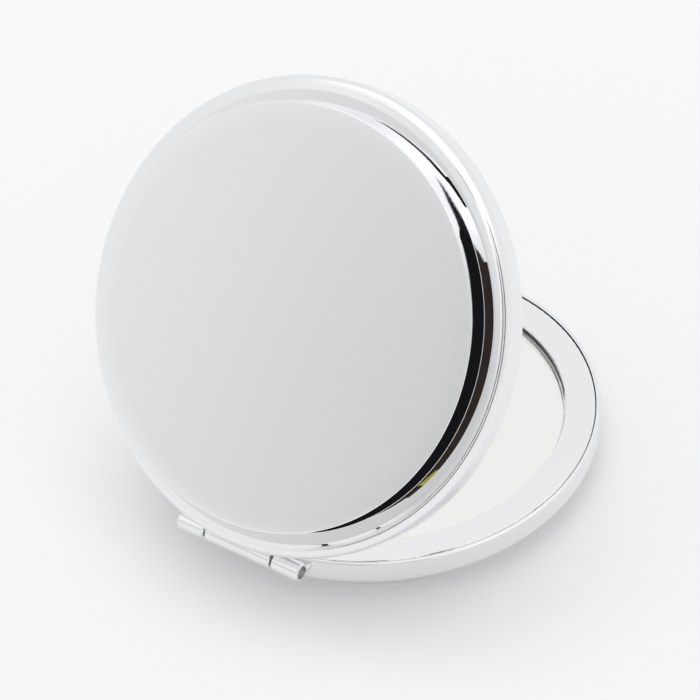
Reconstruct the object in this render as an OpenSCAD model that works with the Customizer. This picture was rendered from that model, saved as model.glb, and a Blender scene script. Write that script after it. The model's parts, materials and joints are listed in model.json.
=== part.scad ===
// Round pocket mirror: two pressed metal halves on a three-knuckle hinge, each with a glass set in a bright frame.
// Millimetres, +Z up. The origin is the centre of the base's resting face, and the hinge lies along X on the -Y side.

/* [Shells] */
// Diameter of each half
shell_d = 70; // [60:1:85]
// Sheet that the shells are pressed from
shell_wall = 0.6; // [0.4:0.1:0.8]
// Height of the flange's outer face above the rim's edge
rim_h = 4.5; // [4.2:0.1:6]
// Radius of the rounded shoulder between rim wall and flange
rim_round = 1.5; // [1.2:0.1:2]
// Radius of the rim's outer edge
rim_edge_round = 0.15; // [0.05:0.05:0.25]
// Width of the flange, from the shell's edge to the plateau's wall
flange_w = 3.75; // [3:0.05:5]
// Height of the plateau above the flange
plateau_h = 3.55; // [1:0.05:4]
// Draft of the plateau's wall, in degrees from upright
wall_draft = 4; // [0:0.5:10]
// Radius of the plateau's bright-cut edge
plateau_round = 0.2; // [0.1:0.05:0.5]
// Radius left by the press at the plateau's foot
foot_round = 0.25; // [0.1:0.05:0.4]

/* [Closing] */
// Gap between the two rims when the mirror is shut
closing_gap = 0.2; // [0.1:0.05:0.4]
// Angle between the halves as the mirror stands open
lid_open = 54.25; // [0:0.25:180]

/* [Frames] */
// Sheet that the frames are pressed from
frame_wall = 0.45; // [0.3:0.05:0.6]
// Seam between a frame and the shell round it
frame_seam = 0.15; // [0.05:0.05:0.3]
// Depth of the frame's face below the shell's rim
frame_drop = 0.05; // [0:0.05:0.3]
// Radius of the frame's pressed edges
frame_round = 0.2; // [0.1:0.05:0.25]
// Width of the frame's flat ring
ring_w = 4.6; // [4.4:0.1:6]
// Gap under the frame's skirt where it seats on the shell's shoulder
seat_gap = 0.05; // [0.02:0.01:0.1]

/* [Mirrors] */
// Depth of the glass's face below the shell's rim
glass_depth = 1.2; // [0.8:0.1:1.6]
// Thickness of the glass
glass_t = 1.3; // [1:0.1:1.8]
// Gap round the glass in its recess
glass_gap = 0.15; // [0.1:0.05:0.3]
// Ground edge of the glass
glass_bevel = 0.2; // [0.1:0.05:0.4]
// Thickness of the foam tape under the glass
pad_t = 0.4; // [0.2:0.1:0.8]
// Distance of the foam tape's edge inside the glass's edge
pad_inset = 1; // [0.5:0.5:5]

/* [Hinge] */
// Distance of the pin's axis outside the shells' edge
axis_out = 0.8; // [0.6:0.1:1.2]
// Depth of the pin's axis below the base's rim
axis_drop = 0.1; // [0:0.05:0.3]
// Diameter of the hinge pin
pin_d = 1.8; // [1.4:0.1:2]
// Clearance between pin and knuckles, on the radius
pin_clearance = 0.05; // [0.02:0.01:0.1]
// Bevel at the pin's ends
pin_bevel = 0.3; // [0.1:0.05:0.4]
// Depth of the pin's ends inside the outer knuckles
pin_inset = 0.3; // [0.1:0.1:1]
// Sheet that the hinge leaves are rolled from
leaf_wall = 0.5; // [0.4:0.05:0.6]
// Width of the hinge over all three knuckles
hinge_w = 22; // [18:1:28]
// Length of the centre knuckle
centre_w = 11.8; // [9:0.1:13]
// Gap between neighbouring knuckles
knuckle_gap = 0.3; // [0.2:0.05:0.5]
// Bevel at the knuckles' ends
knuckle_bevel = 0.2; // [0.1:0.05:0.3]
// Slit that the rolled sheet leaves where it meets the leaf
roll_slit = 0.12; // [0.08:0.01:0.2]
// Clearance between a knuckle and the other half
knuckle_clearance = 0.3; // [0.2:0.05:0.4]
// Gap between the hinge's ends and the sides of the notch in the rims
notch_side_gap = 0.5; // [0.3:0.1:1]
// Gap between the knuckles and the bottom of the notch
notch_under_gap = 1.1; // [0.4:0.05:1.1]
// Radius of the notch's corners at the rim's edge
notch_round = 1.7; // [0.5:0.1:2]

/* [Rivets] */
// Distance between the two rivets of a leaf
rivet_spacing = 16; // [12:1:18]
// Diameter of a rivet's shank
rivet_d = 1.2; // [0.8:0.1:1.6]
// Diameter of a rivet's head
rivet_head_d = 2; // [1.8:0.1:2.4]
// Height of a rivet's head
rivet_head_h = 0.4; // [0.3:0.1:0.6]
// Clearance round a rivet's shank, on the radius
rivet_clearance = 0.02; // [0.01:0.01:0.05]

/* [Magnets] */
// Diameter of each closing magnet
magnet_d = 3.2; // [2:0.1:3.4]
// Thickness of each closing magnet
magnet_t = 2; // [1:0.1:2.5]

/* [Hidden] */
$fn = 144;
// Facets of the small rounds in a section
round_fn = 32;
// Overrun of a cut past the face that it opens
overrun = 1;

shell_r = shell_d / 2;
plateau_r = shell_r - flange_w;
half_h = rim_h + plateau_h;
shell_inner_r = shell_r - shell_wall;

frame_r = shell_inner_r - frame_seam;
recess_r = frame_r - ring_w;
ring_back = frame_drop + frame_wall;
floor_top = glass_depth + glass_t + pad_t;
floor_back = floor_top + frame_wall;
recess_back_r = recess_r + frame_wall;
skirt_inner_r = frame_r - frame_wall;
// The skirt ends where the shoulder's inner round comes under the frame's edge.
shoulder_r = shell_r - rim_round;
shoulder_inner_round = rim_round - shell_wall;
skirt_end = rim_h - rim_round + sqrt(pow(shoulder_inner_round, 2) - pow(frame_r - shoulder_r, 2)) - seat_gap;

glass_r = recess_r - glass_gap;
pad_r = glass_r - pad_inset;

bore_r = pin_d / 2 + pin_clearance;
knuckle_r = bore_r + leaf_wall;
axis_y = -shell_r - axis_out;
// Depth of the pin's axis inside each half's rim: it lies outside the lid's.
base_axis_depth = axis_drop;
lid_axis_depth = -axis_drop - closing_gap;
leaf_back = ring_back + leaf_wall;
leaf_inner_r = recess_back_r + knuckle_clearance;
leaf_outer_r = skirt_inner_r - knuckle_clearance;
outer_start = centre_w / 2 + knuckle_gap;
outer_w = hinge_w / 2 - outer_start;
notch_half_w = hinge_w / 2 + notch_side_gap;
notch_depth = base_axis_depth + knuckle_r + notch_under_gap;

// Rivets and magnets sit in the middle of the channel under the frame's ring.
channel_r = (recess_back_r + skirt_inner_r) / 2;
rivet_x = rivet_spacing / 2;
rivet_y = -sqrt(pow(channel_r, 2) - pow(rivet_x, 2));

// Each half is drawn with its rim's edge at z = 0 and its outer face at z = half_h, with the hinge at -Y.
// This lays that drawing into the base, face down on the table.
module in_base() {
    translate([0, 0, half_h]) mirror([0, 0, 1]) children();
}

// This lays it into the lid, turned about the pin.
module in_lid() {
    translate([0, axis_y, half_h - axis_drop])
        rotate([lid_open, 0, 0])
            translate([0, -axis_y, -lid_axis_depth])
                children();
}

// The corner that a round of radius r takes off, or fills: it is at the origin, between +X and a side at that angle.
module corner(r, angle = 90) {
    reach = r / tan(angle / 2);
    difference() {
        polygon([[0, 0], [reach, 0], [reach, r], [reach * cos(angle), reach * sin(angle)]]);
        translate([reach, r]) circle(r = r, $fn = round_fn);
    }
}

// Half section of a shell's outside, or of its inside when it is drawn inset by the wall.
module shell_section(inset) {
    rim_top = rim_h - inset;
    top = half_h - inset;
    wall_angle = 90 + wall_draft;
    // The wall leans inwards, so the sheet's inside follows it by a little less than the inset.
    wall_inset = inset * (1 - sin(wall_draft)) / cos(wall_draft);
    foot_r = plateau_r - wall_inset;
    top_r = foot_r - plateau_h * tan(wall_draft);
    difference() {
        union() {
            square([shell_r - inset, rim_top]);
            polygon([[0, 0], [foot_r, 0], [foot_r, rim_top], [top_r, top], [0, top]]);
            translate([foot_r, rim_top]) corner(foot_round + inset, wall_angle);
        }
        translate([shell_r - inset, rim_top]) rotate([0, 0, 180]) corner(rim_round - inset);
        if (plateau_round > inset)
            translate([top_r, top]) rotate([0, 0, 180]) corner(plateau_round - inset, wall_angle);
    }
}

// Opening in the rim for the hinge, with its corners rounded at the rim's edge.
module notch() {
    translate([0, -recess_r, 0])
        rotate([90, 0, 0])
            linear_extrude(height = shell_r - recess_r + overrun) {
                translate([-notch_half_w, -overrun]) square([2 * notch_half_w, notch_depth + overrun]);
                for (side = [0, 1])
                    mirror([side, 0]) {
                        translate([notch_half_w, 0]) corner(notch_round);
                        translate([0, -overrun]) square([notch_half_w + notch_round, overrun]);
                    }
            }
}

module shell_form() {
    difference() {
        rotate_extrude()
            difference() {
                shell_section(0);
                shell_section(shell_wall);
                translate([shell_r, 0]) rotate([0, 0, 90]) corner(rim_edge_round);
            }
        notch();
    }
}

// Flat ring, skirt, recess wall and floor, pressed in one piece.
module frame_section() {
    difference() {
        union() {
            translate([recess_r, frame_drop]) square([ring_w, frame_wall]);
            translate([skirt_inner_r, frame_drop]) square([frame_wall, skirt_end - frame_drop]);
            translate([recess_r, frame_drop]) square([frame_wall, floor_back - frame_drop]);
            translate([0, floor_top]) square([recess_back_r, frame_wall]);
        }
        translate([recess_r, frame_drop]) corner(frame_round);
        translate([frame_r, frame_drop]) rotate([0, 0, 90]) corner(frame_round);
        translate([recess_back_r, floor_back]) rotate([0, 0, 180]) corner(frame_round);
    }
}

module frame_form() {
    relief_y = axis_y + knuckle_r + knuckle_clearance;
    difference() {
        rotate_extrude() frame_section();
        // The skirt is cut away where the hinge leaf comes through.
        translate([0, 0, ring_back])
            linear_extrude(height = skirt_end)
                difference() {
                    translate([-notch_half_w, axis_y]) square([2 * notch_half_w, -axis_y]);
                    circle(r = leaf_inner_r);
                }
        // The ring is cut straight where the knuckles turn beside it.
        translate([-notch_half_w, -shell_r, -overrun])
            cube([2 * notch_half_w, relief_y + shell_r, overrun + ring_back]);
        rivet_places() cylinder(r = rivet_d / 2 + rivet_clearance, h = floor_back);
    }
}

module rivet_places() {
    for (side = [-1, 1])
        translate([side * rivet_x, rivet_y, 0]) children();
}

module rivets_form() {
    rivet_places() {
        translate([0, 0, frame_drop]) cylinder(d = rivet_d, h = leaf_back - frame_drop);
        translate([0, 0, leaf_back]) cylinder(d = rivet_head_d, h = rivet_head_h);
    }
}

module glass_form() {
    translate([0, 0, glass_depth]) {
        cylinder(r1 = glass_r - glass_bevel, r2 = glass_r, h = glass_bevel);
        translate([0, 0, glass_bevel]) cylinder(r = glass_r, h = glass_t - glass_bevel);
    }
}

module pad_form() {
    translate([0, 0, glass_depth + glass_t]) cylinder(r = pad_r, h = pad_t);
}

module magnet_form() {
    translate([0, channel_r, ring_back]) cylinder(d = magnet_d, h = magnet_t);
}

// Bar of a circular section along X with bevelled ends.
module bevelled_bar(start, length, r, bevel) {
    translate([start, 0, 0])
        rotate([90, 0, 90])
            rotate_extrude()
                polygon([[0, 0], [r - bevel, 0], [r, bevel], [r, length - bevel], [r - bevel, length], [0, length]]);
}

// A leaf under the frame's ring, with a tongue rolled round the pin for each [start, length] in knuckles.
module leaf_form(knuckles, axis_depth) {
    difference() {
        union() {
            translate([0, 0, ring_back])
                linear_extrude(height = leaf_wall)
                    difference() {
                        union() {
                            intersection() {
                                circle(r = leaf_outer_r);
                                translate([-hinge_w / 2, axis_y]) square([hinge_w, -axis_y]);
                            }
                            for (k = knuckles)
                                translate([k[0], axis_y]) square([k[1], axis_out + flange_w]);
                        }
                        circle(r = leaf_inner_r);
                    }
            for (k = knuckles)
                translate([0, axis_y, axis_depth]) bevelled_bar(k[0], k[1], knuckle_r, knuckle_bevel);
        }
        for (k = knuckles)
            translate([k[0], axis_y, axis_depth]) {
                translate([-overrun, 0, 0]) rotate([0, 90, 0]) cylinder(r = bore_r, h = k[1] + 2 * overrun);
                // The slit runs just above the leaf, on the side of the rim.
                translate([-overrun, 0, ring_back - axis_depth - roll_slit])
                    cube([k[1] + 2 * overrun, knuckle_r + roll_slit, roll_slit]);
            }
        rivet_places() cylinder(r = rivet_d / 2 + rivet_clearance, h = floor_back);
    }
}

module base_shell() {
    color("#D9DADC") in_base() shell_form();
}

module base_frame() {
    color("#E4E5E7") in_base() frame_form();
}

module base_mirror_pad() {
    color("#F2F1EC") in_base() pad_form();
}

module base_mirror() {
    color("#DCE6E8") in_base() glass_form();
}

module base_magnet() {
    color("#B9BBBE") in_base() magnet_form();
}

module base_hinge_leaf() {
    outer_knuckles = [[-hinge_w / 2, outer_w], [outer_start, outer_w]];
    color("#CFD1D3") in_base() leaf_form(outer_knuckles, base_axis_depth);
}

module base_hinge_rivets() {
    color("#C2C4C6") in_base() rivets_form();
}

module hinge_pin() {
    length = hinge_w - 2 * pin_inset;
    color("#8F9193")
        translate([0, axis_y, half_h - axis_drop]) bevelled_bar(-length / 2, length, pin_d / 2, pin_bevel);
}

module lid_shell() {
    color("#D9DADC") in_lid() shell_form();
}

module lid_frame() {
    color("#E4E5E7") in_lid() frame_form();
}

module lid_mirror_pad() {
    color("#F2F1EC") in_lid() pad_form();
}

module lid_mirror() {
    color("#DCE6E8") in_lid() glass_form();
}

module lid_magnet() {
    color("#B9BBBE") in_lid() magnet_form();
}

module lid_hinge_leaf() {
    color("#CFD1D3") in_lid() leaf_form([[-centre_w / 2, centre_w]], lid_axis_depth);
}

module lid_hinge_rivets() {
    color("#C2C4C6") in_lid() rivets_form();
}

base_shell();
base_frame();
base_mirror_pad();
base_mirror();
base_magnet();
base_hinge_leaf();
base_hinge_rivets();
hinge_pin();
lid_shell();
lid_frame();
lid_mirror_pad();
lid_mirror();
lid_magnet();
lid_hinge_leaf();
lid_hinge_rivets();
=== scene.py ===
"""A round pocket mirror in plated steel, dressed and lit as for a catalogue picture."""

import json
import math

import bpy
from mathutils import Matrix, Vector


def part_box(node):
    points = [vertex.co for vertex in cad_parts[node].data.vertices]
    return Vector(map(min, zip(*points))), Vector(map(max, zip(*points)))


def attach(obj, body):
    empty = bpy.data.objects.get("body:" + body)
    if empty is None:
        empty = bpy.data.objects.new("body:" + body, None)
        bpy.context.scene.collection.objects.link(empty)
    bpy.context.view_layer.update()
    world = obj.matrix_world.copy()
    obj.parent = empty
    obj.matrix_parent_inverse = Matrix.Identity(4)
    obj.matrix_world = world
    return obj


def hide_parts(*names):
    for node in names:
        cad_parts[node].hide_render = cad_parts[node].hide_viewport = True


bl_info = {
    "name": "Pocket Mirror Finish",
    "version": (1, 0, 0),
    "blender": (4, 5, 0),
    "location": "3D View > Sidebar > Pocket Mirror",
    "description": "Presses and plates the shells of a pocket mirror, silvers its glasses and lights it",
    "category": "Object",
}

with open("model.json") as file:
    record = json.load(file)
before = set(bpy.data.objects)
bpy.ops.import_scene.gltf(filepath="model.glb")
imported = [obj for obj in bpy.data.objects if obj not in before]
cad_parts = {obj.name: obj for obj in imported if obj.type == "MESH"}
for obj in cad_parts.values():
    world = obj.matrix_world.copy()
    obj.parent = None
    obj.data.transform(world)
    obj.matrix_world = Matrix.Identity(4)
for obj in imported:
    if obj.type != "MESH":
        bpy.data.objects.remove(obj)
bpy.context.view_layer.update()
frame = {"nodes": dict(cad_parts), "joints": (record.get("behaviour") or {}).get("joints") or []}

MM = 0.001
MICRON = 0.000001

# The two halves are alike. Each is drawn with its rim's edge at height zero and its outer face on top,
# the hinge at -Y, and is then laid into the base, face down, or into the open lid.
SHELL_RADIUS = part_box("base_shell")[1].x
HALF_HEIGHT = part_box("base_shell")[1].z
PIN = (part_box("hinge_pin")[0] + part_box("hinge_pin")[1]) / 2
OPEN_ANGLE = -math.radians(frame["joints"][0]["range_deg"][0])
CLOSING_GAP = 0.2 * MM
PLACES = {
    "base": Matrix.Translation((0, 0, HALF_HEIGHT)) @ Matrix.Rotation(math.pi, 4, "Y"),
    "lid": Matrix.Translation(PIN)
    @ Matrix.Rotation(OPEN_ANGLE, 4, "X")
    @ Matrix.Translation((0, -PIN.y, HALF_HEIGHT - PIN.z + CLOSING_GAP)),
}

# What working left on each metal: the marks' lengths along X, Y and Z in mm, and their depth in microns.
ROLLED = (3, 1.5, 1.5), 1.5
GROUND = (1.5, 0.06, 0.06), 3
BARREL_PLATED = (0.3, 0.3, 0.3), 3
DRAWN = (2, 0.08, 0.08), 3

# Soft spots of the tent: the axis that each lies round, and the cosines between which it comes in.
WINDOW = (-0.25, -0.62, 0.74), 0.905, 0.97
OPENING_LEFT = (1, 0, 0), -0.58, -0.38
OPENING_RIGHT = (1, 0, 0), -0.36, 0.0
RIGHT_SIDE = (1, 0, 0), -0.2, 0.1
FRONT = (0, -1, 0), 0.0, 0.3
OVER_LOWER_EDGE = (-0.08, 0.45, 0.89), -0.15, -0.125
TOP = (0, 0, 1), 0.68, 0.92

# Distances over which one finish turns to the next: into the bright cut, out of it, and into the glass's
# ground edge.
BRIGHT_START = 0.1 * MM
BRIGHT_END = 0.4 * MM
GROUND_START = 0.01 * MM

# Haze on the metals, clouds in the silver, pores in the foam and the tooth of the table. The shades are
# painted shade: they tell how much of the colour is left in the hollows of the pores and the tooth.
HAZE_WIDTH = 1.5 * MM
CLOUD_WIDTH = 4 * MM
PORE_DEPTH = 20 * MICRON
PORE_PAINTED_SHADE = 0.72
TOOTH_WIDTH = 0.8 * MM
TOOTH_DEPTH = 15 * MICRON
TOOTH_PAINTED_SHADE = 0.985

# How often the bright cut's lines change along their way, for each radian.
LINE_CHANGES = 3

# How far the block that cuts the notch stands out beyond the rim, the least angle of an edge that is kept
# sharp, and the facets round the silver's film.
OVERRUN = 1 * MM
SHARP_FROM = math.radians(35)
FILM_COLUMNS = 96

# Two cards, a tape and a cord hang round the lid and show in its stepped edge. Each row is an azimuth of the
# lid in degrees, then how far up the plateau's wall they start and end, as shares of its height. Shares
# beyond 0 and 1 make them wider than the wall, and most ends taper.
BLACK_CARD = (
    (-64, 0.4, 0.6),
    (-59, 0.1, 0.9),
    (-55, -0.2, 1.2),
    (-40, -0.5, 1.5),
    (25, -0.5, 1.5),
    (30, -0.5, 1.05),
    (35, -0.3, 0.92),
    (40, 0.05, 0.82),
    (45, 0.2, 0.7),
    (50, 0.32, 0.66),
    (55, 0.35, 0.5),
    (58, 0.4, 0.4),
)
BROWN_CARD = (
    (-48, 0.1, 0.2),
    (-44, -0.3, 0.6),
    (-40, -0.4, 0.7),
    (-34, -0.5, 0.9),
    (-30, -0.5, 1.5),
    (31, -0.5, 1.5),
    (31.5, -0.5, 0.98),
    (35, -0.3, 0.62),
    (39, 0, 0),
)
YELLOW_TAPE = (
    (-31, 0.3, 0.6),
    (-28, 0.5, 1.2),
    (-25, 0.8, 1.3),
)
BLACK_CORD = (
    (44, 1.05, 1.15),
    (50, 0.7, 0.95),
    (55, 0.6, 0.92),
    (60, 0.34, 0.74),
    (70, 0.24, 0.56),
    (80, 0.06, 0.4),
    (85, 0.1, 0.1),
)

# Each one's name, stuff and colour, its rows, whether the camera meets the flange before the wall when it
# looks at them, and how far from the lid they hang, in metres.
HANGINGS = (
    ("black_card", "Dyed paper", "#1B1B1D", BLACK_CARD, False, 0.25),
    ("brown_card", "Dyed paper", "#37302C", BROWN_CARD, True, 0.25),
    ("yellow_tape", "Dyed cotton tape", "#B9B24A", YELLOW_TAPE, True, 0.24),
    ("black_cord", "Dyed cotton cord", "#0E0E0F", BLACK_CORD, True, 0.1),
)
# About how many degrees apart the points of their outlines lie.
OUTLINE_STEP = 1.5

# The stage, in metres, and the camera's sensor, in millimetres.
TABLE_REACH = 3.0
SOFT_BOX_WIDTH = 0.7
SOFT_BOX_PLACE = (-0.1, 0.1, 1.0)
SENSOR_WIDTH = 36


def linear(code):
    """The linear red, green and blue of an sRGB hex code."""
    parts = [int(code[i : i + 2], 16) / 255 for i in (1, 3, 5)]
    return [p / 12.92 if p <= 0.04045 else ((p + 0.055) / 1.055) ** 2.4 for p in parts]


def rgba(tone):
    """A colour as a shader's socket takes it."""
    return (*tone, 1.0)


def length(name, default, description):
    """A length that a user may change."""
    return bpy.props.FloatProperty(
        name=name, description=description, default=default, min=0, unit="LENGTH", precision=5
    )


def angle(name, degrees, description):
    """An angle that a user may change."""
    return bpy.props.FloatProperty(
        name=name, description=description, default=math.radians(degrees), subtype="ANGLE"
    )


def share(name, default, description):
    """A share from none to all that a user may change."""
    return bpy.props.FloatProperty(
        name=name, description=description, default=default, min=0, max=1, subtype="FACTOR"
    )


def amount(name, default, description, unit="NONE"):
    """A plain number that a user may change."""
    return bpy.props.FloatProperty(name=name, description=description, default=default, min=0, unit=unit)


def colour(name, code, description):
    """A colour that a user may change."""
    return bpy.props.FloatVectorProperty(
        name=name, description=description, default=linear(code), subtype="COLOR", min=0, max=1
    )


def add(tree, kind, values=None, links=None):
    """Adds a node, sets its inputs or fields from values and joins the outputs in links to its inputs."""
    made = tree.nodes.new(kind)
    for key, value in (values or {}).items():
        if isinstance(key, int) or key in made.inputs:
            made.inputs[key].default_value = value
        else:
            setattr(made, key, value)
    for key, source in (links or {}).items():
        tree.links.new(source, made.inputs[key])
    return made


def new_material(name):
    """An empty material with its tree and its output node."""
    material = bpy.data.materials.new(name)
    material.use_nodes = True
    material.node_tree.nodes.clear()
    return material, material.node_tree, add(material.node_tree, "ShaderNodeOutputMaterial")


def half_point(tree, half):
    """Each point's place in its own half's drawing."""
    point = add(tree, "ShaderNodeTexCoord").outputs["Object"]
    place = {"Location": PLACES[half].to_translation(), "Rotation": PLACES[half].to_euler()}
    return add(tree, "ShaderNodeMapping", {"vector_type": "TEXTURE", **place}, {"Vector": point}).outputs[0]


def off_axis(tree, point):
    """The way from its half's axis to a point, and that way's length."""
    flat = add(tree, "ShaderNodeVectorMath", {"operation": "MULTIPLY", 1: (1, 1, 0)}, {0: point}).outputs[0]
    return flat, add(tree, "ShaderNodeVectorMath", {"operation": "LENGTH"}, {0: flat}).outputs["Value"]


def dress(node, material):
    """Gives a CAD node its material."""
    slot = frame["nodes"][node].material_slots[0]
    slot.link = "OBJECT"
    slot.material = material


def link_piece(name, mesh, body):
    """Puts a mesh drawn as half a mirror into the scene, at its place on a body."""
    mesh.transform(PLACES[body])
    piece = bpy.data.objects.new(name, mesh)
    bpy.context.scene.collection.objects.link(piece)
    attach(piece, body)
    return piece


class ShellSettings(bpy.types.PropertyGroup):
    """The two pressed shells."""

    wall: length("Sheet", 0.6 * MM, "Sheet that the shells are pressed from")
    rim_height: length("Rim height", 4.5 * MM, "Height of the flange above the rim's edge")
    rim_round: length("Shoulder", 1.45 * MM, "Radius of the shoulder between rim wall and flange")
    rim_edge: length("Rim's edge", 0.15 * MM, "Radius of the rim's outer edge")
    flange: length("Flange", 3.75 * MM, "Width from the shell's edge to the plateau's wall")
    fall_start: length("Fall's start", 1.45 * MM, "Width of the flange's level part, next to the wall")
    fall_width: length("Fall's width", 0.3 * MM, "Distance over which it turns to its full slope")
    fall: angle("Flange's fall", 4, "Slope of the flange's outer part")
    draft: angle("Draft", 4, "Lean of the plateau's wall")
    edge_round: length("Cut edge", 0.2 * MM, "Radius of the plateau's bright-cut edge")
    foot_round: length("Foot", 0.045 * MM, "Radius at the plateau's foot")
    crown_width: length("Crown", 2.8 * MM, "Width over which the face falls towards its edge")
    crown_tilt: angle("Crown's fall", 2, "Slope of the face at its edge")
    notch: length("Notch", 11.5 * MM, "Half width of the notch in the rim for the hinge")
    notch_depth: length("Notch depth", 2.65 * MM, "Depth of that notch")
    notch_round: length("Notch corners", 1.7 * MM, "Radius of the notch's corners at the rim's edge")
    columns: bpy.props.IntProperty(name="Columns", description="Facets round a shell", default=288, min=32)
    plating: colour("Plating", "#F0F1F3", "Colour of the chrome plate")
    satin: share("Satin", 0.16, "Roughness of the softly buffed face, outer flange and rim")
    bright: share("Bright cut", 0.012, "Roughness of the bright-cut edge, the wall and the inner flange")
    bright_width: length("Bright width", 1.9 * MM, "Width of the flange's bright part, next to the wall")
    tool_pitch: length("Tool marks", 0.2 * MM, "Spacing of the lines that the cutting tool left")
    tool_depth: amount("Tool depth", 0.1, "Depth of those lines, in microns")
    patches: length("Buffing", 0.6 * MM, "Width of the faint patches that buffing left")


class FrameSettings(bpy.types.PropertyGroup):
    """The two bright frames that hold the glasses."""

    plating: colour("Plating", "#F2F3F4", "Colour of the chrome plate")
    polish: share("Polish", 0.05, "Roughness of the polished plate")
    ripple: length("Ripple", 5 * MM, "Width of the waves that pressing left in the sheet")
    ripple_depth: amount("Ripple depth", 6, "Depth of those waves, in microns")


class GlassSettings(bpy.types.PropertyGroup):
    """The two glasses, their silver and the foam under them."""

    silver: colour("Silver", "#FBFBFA", "Colour of the silver")
    clouds: share("Clouds", 0.012, "Roughness in the middle of the silver's faint clouds")
    film: length("Film", 0.01 * MM, "Thickness of the silver and its distance from the glass's back")
    tint: colour("Glass", "#FDFEFD", "Colour of the glass")
    ground: share("Ground edge", 0.35, "Roughness of the ground edge")
    bevel: length("Bevel", 0.22 * MM, "Width of the ground edge")
    foam: colour("Foam", "#F4F2EC", "Colour of the foam tape")
    pores: length("Pores", 0.25 * MM, "Size of the foam's pores")


class HingeSettings(bpy.types.PropertyGroup):
    """Hinge leaves, pin, rivets and magnets."""

    plating: colour("Plating", "#EEEFF0", "Colour of the chrome plate on the leaves")
    polish: share("Polish", 0.06, "Roughness of the leaves")
    wire: colour("Wire", "#A8A9AA", "Colour of the drawn wire of the pin")
    wire_rough: share("Wire's roughness", 0.3, "Roughness of the pin")
    rivet: colour("Rivet", "#C9CACB", "Colour of the rivets' steel")
    rivet_rough: share("Rivets' roughness", 0.28, "Roughness of the ground heads")
    nickel: colour("Nickel", "#CFCBC2", "Colour of the magnets' nickel plate")
    nickel_rough: share("Nickel's roughness", 0.22, "Roughness of the magnets")


class StudioSettings(bpy.types.PropertyGroup):
    """Table, light and camera."""

    table: colour("Table", "#F9F9F9", "Colour of the table")
    lift: share("Lift", 0.08, "Light that comes up through the table")
    tent: amount("Tent", 0.91, "Brightness of the white tent")
    fill: share("Fill", 0.82, "Share of the tent's light that falls on matt surfaces")
    window: amount("Window", 0.25, "Added brightness of the window, up and to the left")
    top: amount("Top", 0.35, "Added brightness of the tent's top")
    opening: share("Opening", 0.28, "How much darker the tent is in the opening that the face mirrors")
    side: share("Side", 0.06, "How much darker its right side is")
    lamp: amount("Soft box", 1.0, "Power of the soft box overhead", "POWER")
    lens: amount("Lens", 135.6, "Focal length on a 36 mm sensor", "CAMERA")
    camera: bpy.props.FloatVectorProperty(
        name="Camera",
        description="Place of the camera",
        default=(0.18313, -0.24467, 0.28463),
        subtype="XYZ",
        unit="LENGTH",
    )
    aim: bpy.props.FloatVectorProperty(
        name="Aim",
        description="The camera's azimuth from -Y, its height angle and its roll",
        default=(math.radians(37.4223), math.radians(40.9233), math.radians(-4.8273)),
        subtype="EULER",
    )


def arc(centre, radius, start, end, steps):
    """Points on an arc, as radius and height, from one angle in degrees to another."""
    angles = [math.radians(start + (end - start) * i / steps) for i in range(steps + 1)]
    return [(centre[0] + radius * math.cos(a), centre[1] + radius * math.sin(a)) for a in angles]


def shell_section(s):
    """Half a shell's section, from the middle of its face round the rim and back, as radius and height."""
    draft = math.degrees(s.draft)
    fall = math.degrees(s.fall)
    foot = SHELL_RADIUS - s.flange

    def wall_radius(height):
        return foot - (height - s.rim_height) * math.tan(s.draft)

    # The face, with its slight crown, and the bright-cut edge.
    tilt = s.crown_tilt
    drop = math.tan(tilt) * s.crown_width / 2
    top_height = HALF_HEIGHT - drop - s.edge_round * math.cos(tilt)
    top_centre = (wall_radius(top_height) - s.edge_round / math.cos(s.draft), top_height)
    face_edge = top_centre[0] + s.edge_round * math.sin(tilt)
    crown_steps = 16
    crown = []
    for i in range(crown_steps):
        t = i / crown_steps
        crown.append((face_edge - s.crown_width * (1 - t), HALF_HEIGHT - drop * t**2))

    # The foot, the flange's turn from level to its slope, and the shoulder.
    foot_height = s.rim_height + s.foot_round
    foot_centre = (wall_radius(foot_height) + s.foot_round / math.cos(s.draft), foot_height)
    bend_steps = 12
    sink = math.tan(s.fall) * s.fall_width / 2
    bend = []
    for i in range(bend_steps + 1):
        t = i / bend_steps
        bend.append((foot + s.fall_start + s.fall_width * t, s.rim_height - sink * t**2))
    shoulder_radius = SHELL_RADIUS - s.rim_round
    slope_height = bend[-1][1] - (shoulder_radius - bend[-1][0]) * math.tan(s.fall)
    shoulder = (shoulder_radius, slope_height - s.rim_round / math.cos(s.fall))
    edge = (SHELL_RADIUS - s.rim_edge, s.rim_edge)
    ceiling = HALF_HEIGHT - s.wall
    return (
        [(0, HALF_HEIGHT)]
        + crown
        + arc(top_centre, s.edge_round, 90 - math.degrees(tilt), draft, 10)
        + arc(foot_centre, s.foot_round, 180 + draft, 270, 8)
        + bend
        + arc(shoulder, s.rim_round, 90 - fall, 0, 24)
        + arc(edge, s.rim_edge, 0, -90, 6)
        + [(SHELL_RADIUS - s.wall, 0)]
        + arc(shoulder, s.rim_round - s.wall, 0, 90 - fall, 10)
        + [(bend[0][0], s.rim_height - s.wall)]
        + arc(foot_centre, s.foot_round + s.wall, 270, 180 + draft, 8)
        + [(wall_radius(ceiling) - s.wall / math.cos(s.draft), ceiling), (0, ceiling)]
    )


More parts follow.
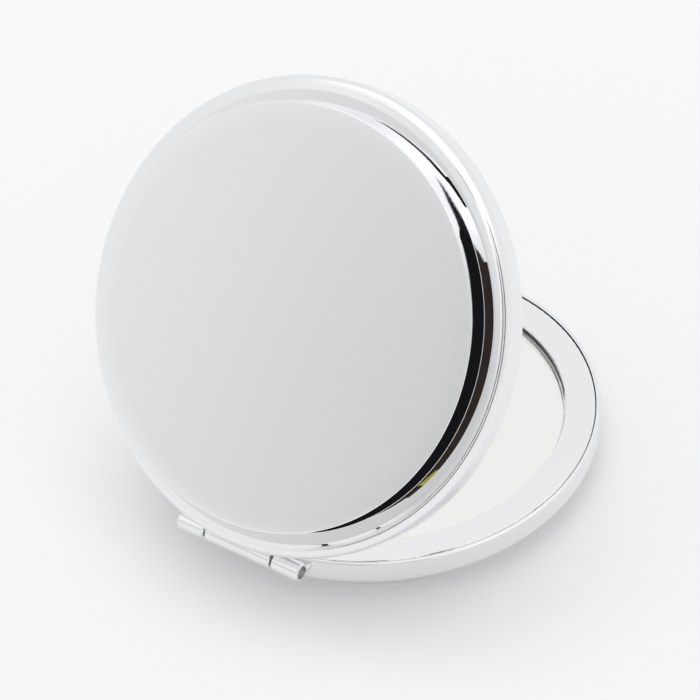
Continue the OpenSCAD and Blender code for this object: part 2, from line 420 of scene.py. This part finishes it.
def turned_mesh(name, section, columns):
    """A closed mesh turned round the height axis from a section that starts and ends on it."""
    verts = [(0, 0, section[0][1]), (0, 0, section[-1][1])]
    inner = section[1:-1]
    rows = len(inner)
    for i in range(columns):
        a = 2 * math.pi * i / columns
        verts += [(r * math.cos(a), r * math.sin(a), h) for r, h in inner]
    faces = []
    for i in range(columns):
        here, there = 2 + i * rows, 2 + (i + 1) % columns * rows
        faces.append((0, here, there))
        faces += [(here + k, here + k + 1, there + k + 1, there + k) for k in range(rows - 1)]
        faces.append((here + rows - 1, 1, there + rows - 1))
    mesh = bpy.data.meshes.new(name)
    mesh.from_pydata(verts, [], faces)
    return mesh


def notch_mesh(s):
    """The block that opens the rim for the hinge, with rounds at the rim's edge."""
    side = arc((s.notch + s.notch_round, s.notch_round), s.notch_round, -90, -180, 12)
    side = [(s.notch + s.notch_round, -OVERRUN)] + side + [(s.notch, s.notch_depth)]
    outline = [(-x, z) for x, z in side] + [(x, z) for x, z in reversed(side)]
    count = len(outline)
    outer, inner = -SHELL_RADIUS - OVERRUN, s.flange + s.rim_round - SHELL_RADIUS
    verts = [(x, y, z) for y in (outer, inner) for x, z in outline]
    faces = [tuple(range(count)), tuple(reversed(range(count, 2 * count)))]
    faces += [(i, i + count, (i + 1) % count + count, (i + 1) % count) for i in range(count)]
    mesh = bpy.data.meshes.new("notch")
    mesh.from_pydata(verts, [], faces)
    return mesh


def press_shell(s):
    """The mesh that both shells share: turned, notched for the hinge, with its real edges kept sharp."""
    blank = turned_mesh("shell_blank", shell_section(s), s.columns)
    whole = bpy.data.objects.new("shell_blank", blank)
    block = bpy.data.objects.new("notch_block", notch_mesh(s))
    for made in (whole, block):
        bpy.context.scene.collection.objects.link(made)
    cut = whole.modifiers.new("notch", "BOOLEAN")
    cut.object = block
    cut.operation = "DIFFERENCE"
    cut.solver = "EXACT"
    bpy.context.view_layer.update()
    graph = bpy.context.evaluated_depsgraph_get()
    mesh = bpy.data.meshes.new_from_object(whole.evaluated_get(graph))
    mesh.name = "pressed_shell"
    for made in (whole, block):
        bpy.data.objects.remove(made)
    mesh.shade_smooth()
    mesh.set_sharp_from_angle(angle=SHARP_FROM)
    return mesh


def satin_chrome(s, half):
    """Chrome plate on pressed steel, softly buffed, with a bright-cut edge: the face and rim give back light
    and shade with no picture in them, while the wall and the inner flange mirror the room in crisp lines."""
    name = "Chrome plate on pressed steel, satin with a bright-cut edge, " + half
    material, tree, output = new_material(name)
    point = half_point(tree, half)
    flat, radius = off_axis(tree, point)
    height = add(tree, "ShaderNodeSeparateXYZ", {}, {0: point}).outputs["Z"]

    # The polished band reaches from the cut edge over the wall to the inner part of the flange.
    foot = SHELL_RADIUS - s.flange
    start = foot - (HALF_HEIGHT - s.rim_height) * math.tan(s.draft) - s.edge_round
    end = foot + s.bright_width
    values = {"From Min": start, "From Max": start + BRIGHT_START, "To Min": 0.0, "To Max": 1.0}
    opening = add(tree, "ShaderNodeMapRange", values, {"Value": radius}).outputs[0]
    values = {"From Min": end, "From Max": end + BRIGHT_END, "To Min": 1.0, "To Max": 0.0}
    closing = add(tree, "ShaderNodeMapRange", values, {"Value": radius}).outputs[0]
    polished = add(tree, "ShaderNodeMath", {"operation": "MULTIPLY"}, {0: opening, 1: closing}).outputs[0]

    # Long fine lines run round the cut band, as the tool left them. Real ones lie about 0.05 mm apart, too
    # fine for a picture, so they are drawn wider apart to show.
    times = {"operation": "MULTIPLY", 1: 1 / s.tool_pitch}
    across = add(tree, "ShaderNodeMath", times, {0: radius}).outputs[0]
    down = add(tree, "ShaderNodeMath", times, {0: height}).outputs[0]
    round_about = add(tree, "ShaderNodeVectorMath", {"operation": "NORMALIZE"}, {0: flat}).outputs[0]
    outwards = add(tree, "ShaderNodeCombineXYZ", {}, {"Z": across}).outputs[0]
    values = {"operation": "MULTIPLY_ADD", 1: (LINE_CHANGES, LINE_CHANGES, 0)}
    drawn_out = add(tree, "ShaderNodeVectorMath", values, {0: round_about, 2: outwards}).outputs[0]
    values = {"noise_dimensions": "4D", "Scale": 1.0, "Detail": 1.0}
    lines = add(tree, "ShaderNodeTexNoise", values, {"Vector": drawn_out, "W": down}).outputs[0]
    values = {"operation": "MULTIPLY", 1: s.tool_depth * MICRON}
    cut = add(tree, "ShaderNodeMath", values, {0: lines}).outputs[0]
    cut = add(tree, "ShaderNodeMath", {"operation": "MULTIPLY"}, {0: cut, 1: polished}).outputs[0]
    bump = add(tree, "ShaderNodeBump", {"Strength": 1.0, "Distance": 1.0}, {"Height": cut})

    # The buffing wheel left the satin a trace duller in small patches.
    values = {"Scale": 1 / s.patches, "Detail": 2.0}
    grain = add(tree, "ShaderNodeTexNoise", values, {"Vector": point}).outputs[0]
    values = {"From Min": 0.3, "From Max": 0.7, "To Min": s.satin * 0.94, "To Max": s.satin * 1.06}
    buffed = add(tree, "ShaderNodeMapRange", values, {"Value": grain}).outputs[0]
    values = {"data_type": "FLOAT", 3: s.bright}
    rough = add(tree, "ShaderNodeMix", values, {0: polished, 2: buffed}).outputs[0]
    values = {"Base Color": rgba(s.plating), "Metallic": 1.0}
    metal = add(tree, "ShaderNodeBsdfPrincipled", values, {"Roughness": rough, "Normal": bump.outputs[0]})
    tree.links.new(metal.outputs[0], output.inputs["Surface"])
    return material


def worked_metal(name, half, tone, polish, marks):
    """A metal as it was worked: its marks are lengths along the three axes, in mm, and a depth in microns.
    Even marks are the gentle waves of a polished sheet, long ones the lines of a drawn or ground surface."""
    material, tree, output = new_material(name)
    point = half_point(tree, half)
    lengths, depth = marks
    values = {"operation": "MULTIPLY", 1: [1 / (mark * MM) for mark in lengths]}
    scaled = add(tree, "ShaderNodeVectorMath", values, {0: point}).outputs[0]
    wave = add(tree, "ShaderNodeTexNoise", {"Scale": 1.0, "Detail": 1.0}, {"Vector": scaled}).outputs[0]
    bump = add(tree, "ShaderNodeBump", {"Strength": 1.0, "Distance": depth * MICRON}, {"Height": wave})
    # Handling leaves a faint haze in patches, duller here and brighter there.
    values = {"Scale": 1 / HAZE_WIDTH, "Detail": 3.0}
    haze = add(tree, "ShaderNodeTexNoise", values, {"Vector": point}).outputs[0]
    values = {"From Min": 0.35, "From Max": 0.65, "To Min": polish * 0.8, "To Max": polish * 1.3}
    rough = add(tree, "ShaderNodeMapRange", values, {"Value": haze}).outputs[0]
    values = {"Base Color": rgba(tone), "Metallic": 1.0}
    metal = add(tree, "ShaderNodeBsdfPrincipled", values, {"Roughness": rough, "Normal": bump.outputs[0]})
    tree.links.new(metal.outputs[0], output.inputs["Surface"])
    return material


def float_glass(s, half):
    """Float glass, clear and a trace green, with a dull ground edge that shows as a pale ring."""
    material, tree, output = new_material("Float glass with a ground edge, " + half)
    radius = off_axis(tree, half_point(tree, half))[1]
    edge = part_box("base_mirror")[1].x - s.bevel
    values = {"From Min": edge, "From Max": edge + GROUND_START, "To Max": s.ground}
    rough = add(tree, "ShaderNodeMapRange", values, {"Value": radius}).outputs[0]
    clear = add(tree, "ShaderNodeBsdfGlass", {"Color": rgba(s.tint), "IOR": 1.52}, {"Roughness": rough})
    tree.links.new(clear.outputs[0], output.inputs["Surface"])
    return material


def silvering(s, half):
    """Silver laid on the back of the glass from a bath: it takes on the glass's own smoothness, with the
    faintest clouds, and gives the clean image that lies a little below the ring."""
    material, tree, output = new_material("Silver, chemically laid on glass, " + half)
    point = half_point(tree, half)
    values = {"Scale": 1 / CLOUD_WIDTH, "Detail": 2.0}
    clouds = add(tree, "ShaderNodeTexNoise", values, {"Vector": point}).outputs[0]
    values = {"From Min": 0.3, "From Max": 0.7, "To Min": 0.0, "To Max": s.clouds}
    rough = add(tree, "ShaderNodeMapRange", values, {"Value": clouds}).outputs[0]
    values = {"Base Color": rgba(s.silver), "Metallic": 1.0}
    silver = add(tree, "ShaderNodeBsdfPrincipled", values, {"Roughness": rough})
    tree.links.new(silver.outputs[0], output.inputs["Surface"])
    return material


def foam_tape(s, half):
    """White closed-cell foam with glue on both sides: matt, with painted shade in its small pores along its
    cut edge.
    """
    material, tree, output = new_material("Closed-cell foam tape, die cut, " + half)
    point = half_point(tree, half)
    cells = add(tree, "ShaderNodeTexVoronoi", {"Scale": 1 / s.pores}, {"Vector": point}).outputs["Distance"]
    # Painted shade: the foam's colour darkens into each pore's hollow, where the bump sinks.
    values = {"data_type": "RGBA", 6: rgba([c * PORE_PAINTED_SHADE for c in s.foam]), 7: rgba(s.foam)}
    body = add(tree, "ShaderNodeMix", values, {0: cells}).outputs[2]
    bump = add(tree, "ShaderNodeBump", {"Strength": 1.0, "Distance": PORE_DEPTH}, {"Height": cells})
    links = {"Base Color": body, "Normal": bump.outputs[0]}
    foam = add(tree, "ShaderNodeBsdfPrincipled", {"Roughness": 0.85}, links)
    tree.links.new(foam.outputs[0], output.inputs["Surface"])
    return material


class MIRROR_OT_shells(bpy.types.Operator):
    """Press, notch and plate the two shells"""

    bl_idname = "pocket_mirror.shells"
    bl_label = "Shells"

    def execute(self, context):
        s = context.scene.mirror_shells
        pressed = press_shell(s)
        for half in ("base", "lid"):
            mesh = pressed.copy()
            mesh.materials.clear()
            mesh.materials.append(satin_chrome(s, half))
            shell = link_piece(half + "_shell_pressed", mesh, half)
            normals = shell.modifiers.new("flat faces stay flat", "WEIGHTED_NORMAL")
            normals.keep_sharp = True
            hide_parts(half + "_shell")
        return {"FINISHED"}


class MIRROR_OT_frames(bpy.types.Operator):
    """Plate the two frames"""

    bl_idname = "pocket_mirror.frames"
    bl_label = "Frames"

    def execute(self, context):
        s = context.scene.mirror_frames
        # Pressed sheet keeps slow waves after polishing, so crisp reflections bend a little along the ring.
        waves = (s.ripple / MM,) * 3, s.ripple_depth
        for half in ("base", "lid"):
            name = "Chrome plate on pressed sheet, mirror polished, " + half
            dress(half + "_frame", worked_metal(name, half, s.plating, s.polish, waves))
        return {"FINISHED"}


class MIRROR_OT_glasses(bpy.types.Operator):
    """Silver the two glasses and dress the foam tape under them"""

    bl_idname = "pocket_mirror.glasses"
    bl_label = "Glasses"

    def execute(self, context):
        s = context.scene.mirror_glasses
        # The silver is a film just inside the glass's back. The tape touches that back, and would hide the
        # silver if both lay in one plane.
        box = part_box("base_mirror")
        edge = box[1].x - s.bevel
        top = HALF_HEIGHT - box[0].z - s.film
        bottom = top - s.film
        section = [(0, top), (edge, top), (edge, bottom), (0, bottom)]
        for half in ("base", "lid"):
            dress(half + "_mirror", float_glass(s, half))
            dress(half + "_mirror_pad", foam_tape(s, half))
            film = turned_mesh(half + "_silvering", section, FILM_COLUMNS)
            film.materials.append(silvering(s, half))
            link_piece(half + "_silvering", film, half)
        return {"FINISHED"}


class MIRROR_OT_hinge(bpy.types.Operator):
    """Plate the hinge's leaves and dress its pin, rivets and the magnets"""

    bl_idname = "pocket_mirror.hinge"
    bl_label = "Hinge and magnets"

    def execute(self, context):
        s = context.scene.mirror_hinge
        for half in ("base", "lid"):
            # Rolling a leaf round its pin leaves short waves along the knuckle, so its highlight wavers.
            name = "Chrome plate on rolled sheet, polished, " + half
            dress(half + "_hinge_leaf", worked_metal(name, half, s.plating, s.polish, ROLLED))
            # A grinding belt ran along X over the rivets' heads: fine straight lines, greyer than the plate
            # beside them. They stand about 0.03 mm apart on a real head, and are drawn at twice that to show.
            name = "Mild steel rivet, ground flush, " + half
            dress(half + "_hinge_rivets", worked_metal(name, half, s.rivet, s.rivet_rough, GROUND))
            # Barrel plating leaves nickel slightly dimpled and warm against the chrome.
            name = "Nickel plate on a sintered magnet, " + half
            dress(half + "_magnet", worked_metal(name, half, s.nickel, s.nickel_rough, BARREL_PLATED))
        # The drawing die scored long lines along the wire, so the pin is duller than the knuckle round it.
        # Real lines are a few hundredths of a millimetre wide, and are drawn somewhat wider to show.
        name = "Bright drawn steel wire, sheared"
        dress("hinge_pin", worked_metal(name, "base", s.wire, s.wire_rough, DRAWN))
        return {"FINISHED"}


class MIRROR_OT_stage(bpy.types.Operator):
    """Set up the table, the white tent, the soft box, the camera and what hangs round the lid"""

    bl_idname = "pocket_mirror.stage"
    bl_label = "Studio"

    def execute(self, context):
        s = context.scene.mirror_studio
        scene = context.scene
        scene.view_settings.view_transform = "Standard"
        add_table(s)
        pitch_tent(scene, s)
        add_soft_box(scene, s)
        add_camera(scene, s)
        for hanging in HANGINGS:
            hang_up(s, *hanging)
        return {"FINISHED"}


def add_table(s):
    """A light table of opal acrylic, which shines faintly from below and so keeps shadows pale."""
    reach = TABLE_REACH
    mesh = bpy.data.meshes.new("table")
    corners = [(-reach, -reach, 0), (reach, -reach, 0), (reach, reach, 0), (-reach, reach, 0)]
    mesh.from_pydata(corners, [], [(0, 1, 2, 3)])
    table = bpy.data.objects.new("table", mesh)
    bpy.context.scene.collection.objects.link(table)
    material, tree, output = new_material("Opal acrylic, cast, matt side up")
    # The casting leaves a fine even tooth, which breaks up any gleam and keeps the white quiet. The real one
    # is finer, and is drawn this coarse to show.
    point = add(tree, "ShaderNodeTexCoord").outputs["Object"]
    values = {"Scale": 1 / TOOTH_WIDTH, "Detail": 3.0}
    tooth = add(tree, "ShaderNodeTexNoise", values, {"Vector": point}).outputs[0]
    # Painted shade: the table's white darkens a trace in the tooth's hollows, where the bump sinks.
    values = {"data_type": "RGBA", 6: rgba([c * TOOTH_PAINTED_SHADE for c in s.table]), 7: rgba(s.table)}
    white = add(tree, "ShaderNodeMix", values, {0: tooth}).outputs[2]
    bump = add(tree, "ShaderNodeBump", {"Strength": 1.0, "Distance": TOOTH_DEPTH}, {"Height": tooth})
    values = {
        "Roughness": 0.7,
        "Specular IOR Level": 0.1,
        "Emission Color": rgba(s.table),
        "Emission Strength": s.lift,
    }
    links = {"Base Color": white, "Normal": bump.outputs[0]}
    acrylic = add(tree, "ShaderNodeBsdfPrincipled", values, links)
    tree.links.new(acrylic.outputs[0], output.inputs["Surface"])
    mesh.materials.append(material)


def towards(tree, direction, spot, least, most):
    """A soft spot of the tent: it goes from least to most as the view turns to the spot's axis."""
    axis, start, end = spot
    values = {"operation": "DOT_PRODUCT", 1: axis}
    facing = add(tree, "ShaderNodeVectorMath", values, {0: direction}).outputs["Value"]
    values = {
        "interpolation_type": "SMOOTHSTEP",
        "From Min": start,
        "From Max": end,
        "To Min": least,
        "To Max": most,
    }
    return add(tree, "ShaderNodeMapRange", values, {"Value": facing}).outputs[0]


def pitch_tent(scene, s):
    """A white tent with a bright window and top, and in front a darker opening that the lid's face mirrors.
    The camera sees it plain white."""
    world = bpy.data.worlds.new("white_tent")
    scene.world = world
    world.use_nodes = True
    tree = world.node_tree
    tree.nodes.clear()
    output = add(tree, "ShaderNodeOutputWorld")
    direction = add(tree, "ShaderNodeTexCoord").outputs["Generated"]
    window = towards(tree, direction, WINDOW, s.tent, s.tent + s.window)
    top = towards(tree, direction, TOP, 0.0, s.top)
    left = towards(tree, direction, OPENING_LEFT, 0.0, s.opening)
    right = towards(tree, direction, OPENING_RIGHT, 1.0, 0.0)
    side = towards(tree, direction, RIGHT_SIDE, 0.0, s.side)
    front = towards(tree, direction, FRONT, 0.0, 1.0)
    over = towards(tree, direction, OVER_LOWER_EDGE, 0.0, 1.0)
    dark = add(tree, "ShaderNodeMath", {"operation": "MULTIPLY_ADD"}, {0: left, 1: right, 2: side}).outputs[0]
    dark = add(tree, "ShaderNodeMath", {"operation": "MULTIPLY"}, {0: dark, 1: front}).outputs[0]
    dark = add(tree, "ShaderNodeMath", {"operation": "MULTIPLY"}, {0: dark, 1: over}).outputs[0]
    tent = add(tree, "ShaderNodeMath", {"operation": "SUBTRACT"}, {0: window, 1: dark}).outputs[0]
    tent = add(tree, "ShaderNodeMath", {"operation": "ADD"}, {0: tent, 1: top}).outputs[0]

    # Metal and glass mirror the tent as bright as it is, and matt surfaces get the fill's share of its light.
    rays = add(tree, "ShaderNodeLightPath").outputs
    lit = add(tree, "ShaderNodeMath", {"operation": "MULTIPLY", 1: s.fill}, {0: tent}).outputs[0]
    links = {0: rays["Is Glossy Ray"], 1: rays["Is Transmission Ray"]}
    shiny = add(tree, "ShaderNodeMath", {"operation": "MAXIMUM"}, links).outputs[0]
    strength = add(tree, "ShaderNodeMix", {"data_type": "FLOAT"}, {0: shiny, 2: lit, 3: tent}).outputs[0]
    links = {0: rays["Is Camera Ray"], 2: strength}
    strength = add(tree, "ShaderNodeMix", {"data_type": "FLOAT", 3: 1.0}, links).outputs[0]
    back = add(tree, "ShaderNodeBackground", {"Color": (1, 1, 1, 1)}, {"Strength": strength})
    tree.links.new(back.outputs[0], output.inputs["Surface"])


def add_soft_box(scene, s):
    """A weak round soft box overhead, which shows in no reflection."""
    lamp = bpy.data.lights.new("soft_box", "AREA")
    lamp.shape = "DISK"
    lamp.size = SOFT_BOX_WIDTH
    lamp.energy = s.lamp
    box = bpy.data.objects.new("soft_box", lamp)
    box.location = SOFT_BOX_PLACE
    box.rotation_euler = Vector(box.location).to_track_quat("Z", "Y").to_euler()
    box.visible_glossy = False
    scene.collection.objects.link(box)


def sight_off_edge(s, azimuth, climb, flange_first):
    """Where the camera looks off the open lid's stepped edge, as a point and a direction in the lid's own
    drawing. The climb is the share of the wall's height at which it meets the wall, and it meets the flange
    after that or before."""
    shell = bpy.context.scene.mirror_shells
    out = Vector((math.cos(azimuth), math.sin(azimuth), 0))
    up = Vector((0, 0, 1))
    foot = SHELL_RADIUS - shell.flange
    rise = climb * (HALF_HEIGHT - shell.rim_height)
    # The camera looks down so steeply that it meets the flange about half as far from the wall's foot as it
    # meets the wall above it.
    tilt = shell.fall if rise / 2 > shell.fall_start else 0
    wall = out * math.cos(shell.draft) + up * math.sin(shell.draft)
    flange = out * math.sin(tilt) + up * math.cos(tilt)
    high = out * (foot - rise * math.tan(shell.draft)) + up * (shell.rim_height + rise)
    eye = PLACES["lid"].inverted() @ Vector(s.camera)
    if flange_first:
        # The eye's mirror image below the flange looks straight at the wall.
        image = eye - 2 * (eye - up * shell.rim_height).dot(flange) * flange
        return high, (high - image).reflect(wall).normalized()
    ray = (high - eye).reflect(wall)
    low = high - ray * (rise / ray.z)
    return low, ray.reflect(flange).normalized()


def hang_up(s, name, stuff, code, rows, flange_first, distance):
    """A strip round the lid that follows its rows, where the camera sees it in the lid's stepped edge. It
    shows in reflections alone and takes no light from the table."""
    verts = []
    for (start, low, high), (end, low_end, high_end) in zip(rows, rows[1:]):
        steps = max(1, round((end - start) / OUTLINE_STEP))
        for i in range(steps + (end == rows[-1][0])):
            t = i / steps
            azimuth = math.radians(start + (end - start) * t)
            for climb in (low + (low_end - low) * t, high + (high_end - high) * t):
                point, ray = sight_off_edge(s, azimuth, climb, flange_first)
                verts.append(PLACES["lid"] @ (point + ray * distance))
    faces = [(i, i + 1, i + 3, i + 2) for i in range(0, len(verts) - 2, 2)]
    mesh = bpy.data.meshes.new(name)
    mesh.from_pydata(verts, [], faces)
    strip = bpy.data.objects.new(name, mesh)
    bpy.context.scene.collection.objects.link(strip)
    strip.visible_camera = False
    strip.visible_shadow = False
    strip.visible_diffuse = False
    material, tree, output = new_material(stuff + ", " + name)
    dyed = add(tree, "ShaderNodeBsdfDiffuse", {"Color": rgba(linear(code))})
    tree.links.new(dyed.outputs[0], output.inputs["Surface"])
    mesh.materials.append(material)


def add_camera(scene, s):
    """The camera at the photograph's place."""
    azimuth, elevation, roll = s.aim
    level = math.cos(elevation)
    back = Vector((math.sin(azimuth) * level, -math.cos(azimuth) * level, math.sin(elevation)))
    right = (-back).cross(Vector((0, 0, 1))).normalized()
    up = right.cross(-back)
    right, up = (
        right * math.cos(roll) + up * math.sin(roll),
        up * math.cos(roll) - right * math.sin(roll),
    )
    data = bpy.data.cameras.new("camera")
    data.lens = s.lens
    data.sensor_width = SENSOR_WIDTH
    camera = bpy.data.objects.new("camera", data)
    camera.matrix_world = Matrix.Translation(s.camera) @ Matrix((right, up, back)).transposed().to_4x4()
    scene.collection.objects.link(camera)
    scene.camera = camera


class MIRROR_PT_sidebar(bpy.types.Panel):
    """The pocket mirror's pieces and studio"""

    bl_idname = "MIRROR_PT_sidebar"
    bl_label = "Pocket Mirror"
    bl_space_type = "VIEW_3D"
    bl_region_type = "UI"
    bl_category = "Pocket Mirror"

    def draw(self, context):
        for operator in OPERATORS:
            self.layout.operator(operator.bl_idname)


SETTINGS = {
    "mirror_shells": ShellSettings,
    "mirror_frames": FrameSettings,
    "mirror_glasses": GlassSettings,
    "mirror_hinge": HingeSettings,
    "mirror_studio": StudioSettings,
}
OPERATORS = (MIRROR_OT_shells, MIRROR_OT_frames, MIRROR_OT_glasses, MIRROR_OT_hinge, MIRROR_OT_stage)
CLASSES = (*SETTINGS.values(), *OPERATORS, MIRROR_PT_sidebar)


def register():
    """Tells Blender of the settings, operators and panel."""
    for made in CLASSES:
        bpy.utils.register_class(made)
    for name, group in SETTINGS.items():
        setattr(bpy.types.Scene, name, bpy.props.PointerProperty(type=group))


def unregister():
    """Takes them away again."""
    for name in SETTINGS:
        delattr(bpy.types.Scene, name)
    for made in reversed(CLASSES):
        bpy.utils.unregister_class(made)


def main():
    """Makes the whole mirror and its studio."""
    register()
    bpy.ops.pocket_mirror.shells()
    bpy.ops.pocket_mirror.frames()
    bpy.ops.pocket_mirror.glasses()
    bpy.ops.pocket_mirror.hinge()
    bpy.ops.pocket_mirror.stage()


if __name__ == "__main__":
    main()
